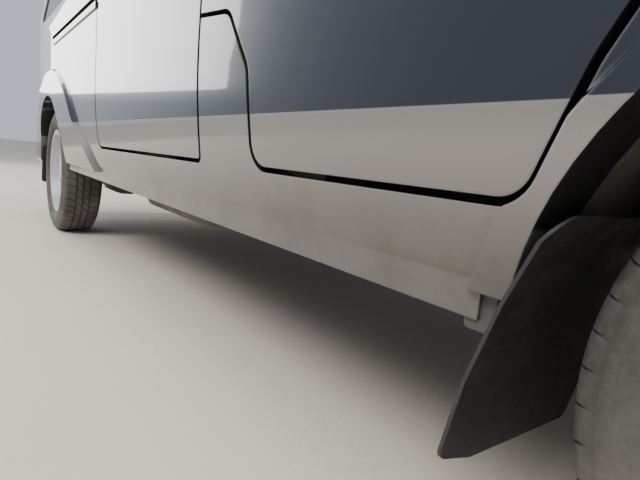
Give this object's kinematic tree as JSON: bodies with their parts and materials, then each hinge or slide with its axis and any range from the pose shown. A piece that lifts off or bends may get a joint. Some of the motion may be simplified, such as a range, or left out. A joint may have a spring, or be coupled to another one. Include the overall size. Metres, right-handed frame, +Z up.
{
  "type": "microvan",
  "caption": "Two-tone microvan of the goods kind on its own wheels, with a short bonnet, hinged cab doors, sliding side doors, a lift-up tailgate and an open, flat load space.",
  "frame": {"origin": "on the ground under the middle of the van's bounding box", "axes": "+Y towards the tail (the nose points to -Y), +X towards the van's left, +Z up"},
  "size_m": [1.906, 4, 1.8799],
  "materials": {
    "paint_dark": "dark navy gloss over champagne, a two-tone dress added in the scene",
    "paint_light": "champagne metallic gloss",
    "glass": "tinted, clear",
    "head_lens": "clear moulded lens",
    "tail_lens": "red moulded lens",
    "black_plastic": "grained black",
    "dash_plastic": "grained grey",
    "tyre": "dusty black",
    "wheel_steel": "silver enamel on pressed steel",
    "spare": "dusty black",
    "floor_paint": "satin grey",
    "chassis_black": "satin black",
    "iron": "as cast",
    "exhaust_steel": "dull steel",
    "flap_rubber": "matt black",
    "seat_cloth": "woven grey cloth",
    "seat_steel": "satin black"
  },
  "bodies": {
    "van": {"body_side_left": "paint_dark", "body_side_right": "paint_dark", "dashboard": "dash_plastic", "engine_block": "iron", "exhaust": "exhaust_steel", "floor_pan": "floor_paint", "frame_rails": "chassis_black", "front_bumper": "paint_light", "front_panel": "paint_dark", "front_suspension": "chassis_black", "fuel_tank": "chassis_black", "grille": "black_plastic", "headlamps": "head_lens", "leaf_springs": "chassis_black", "mud_flaps": "flap_rubber", "propshaft": "chassis_black", "rear_axle": "chassis_black", "rear_bumper": "paint_light", "roof": "paint_dark", "seat_backs": "seat_cloth", "seat_bases": "seat_steel", "seat_cushions": "seat_cloth", "side_glass": "glass", "sliding_door_left": "paint_dark", "sliding_door_right": "paint_dark", "spare_wheel": "spare", "steering_wheel": "dash_plastic", "tail_lamps": "tail_lens", "wheel_houses": "black_plastic", "windscreen": "glass"},
    "front_door_left": {"front_door_left": "paint_dark", "front_glass_left": "glass", "mirror_left": "paint_dark"},
    "front_door_right": {"front_door_right": "paint_dark", "front_glass_right": "glass", "mirror_right": "paint_dark"},
    "tailgate": {"tailgate": "paint_dark", "tailgate_glass": "glass"},
    "bonnet": {"bonnet": "paint_dark"},
    "knuckle_left": {"knuckle_left": "chassis_black"},
    "knuckle_right": {"knuckle_right": "chassis_black"},
    "wheel_front_left": {"tyre_front_left": "tyre", "rim_front_left": "wheel_steel"},
    "wheel_front_right": {"tyre_front_right": "tyre", "rim_front_right": "wheel_steel"},
    "wheel_rear_left": {"tyre_rear_left": "tyre", "rim_rear_left": "wheel_steel"},
    "wheel_rear_right": {"tyre_rear_right": "tyre", "rim_rear_right": "wheel_steel"}
  },
  "joints": [
    {"name": "front_door_left_swing", "type": "hinge", "parent": "van", "child": "front_door_left", "pos_m": [0.796, -1.168, 0.8], "axis": [0, 0, -1], "range_deg": [0, 65]},
    {"name": "front_door_right_swing", "type": "hinge", "parent": "van", "child": "front_door_right", "pos_m": [-0.796, -1.168, 0.8], "axis": [0, 0, 1], "range_deg": [0, 65]},
    {"name": "tailgate_lift", "type": "hinge", "parent": "van", "child": "tailgate", "pos_m": [0, 1.8474, 1.753], "axis": [1, 0, 0], "range_deg": [0, 85]},
    {"name": "bonnet_lift", "type": "hinge", "parent": "van", "child": "bonnet", "pos_m": [0, -1.552, 0.9763], "axis": [-1, 0, 0], "range_deg": [0, 60]},
    {"name": "steer_right", "type": "hinge", "parent": "van", "child": "knuckle_right", "pos_m": [-0.64, -1.38, 0.17], "axis": [0.2002, 0, 0.9797], "range_deg": [-30, 30]},
    {"name": "steer_left", "type": "hinge", "parent": "van", "child": "knuckle_left", "pos_m": [0.64, -1.38, 0.17], "axis": [-0.2002, 0, 0.9797], "range_deg": [-30, 30]},
    {"name": "wheel_front_left_spin", "type": "hinge", "parent": "knuckle_left", "child": "wheel_front_left", "pos_m": [0.6745, -1.38, 0.28], "axis": [1, 0, 0], "continuous": true},
    {"name": "wheel_front_right_spin", "type": "hinge", "parent": "knuckle_right", "child": "wheel_front_right", "pos_m": [-0.6745, -1.38, 0.28], "axis": [1, 0, 0], "continuous": true},
    {"name": "wheel_rear_left_spin", "type": "hinge", "parent": "van", "child": "wheel_rear_left", "pos_m": [0.712, 1.32, 0.28], "axis": [1, 0, 0], "continuous": true},
    {"name": "wheel_rear_right_spin", "type": "hinge", "parent": "van", "child": "wheel_rear_right", "pos_m": [-0.712, 1.32, 0.28], "axis": [1, 0, 0], "continuous": true}
  ],
  "couplings": [
    {"joint": "steer_left", "follows": "steer_right", "ratio": 1}
  ]
}
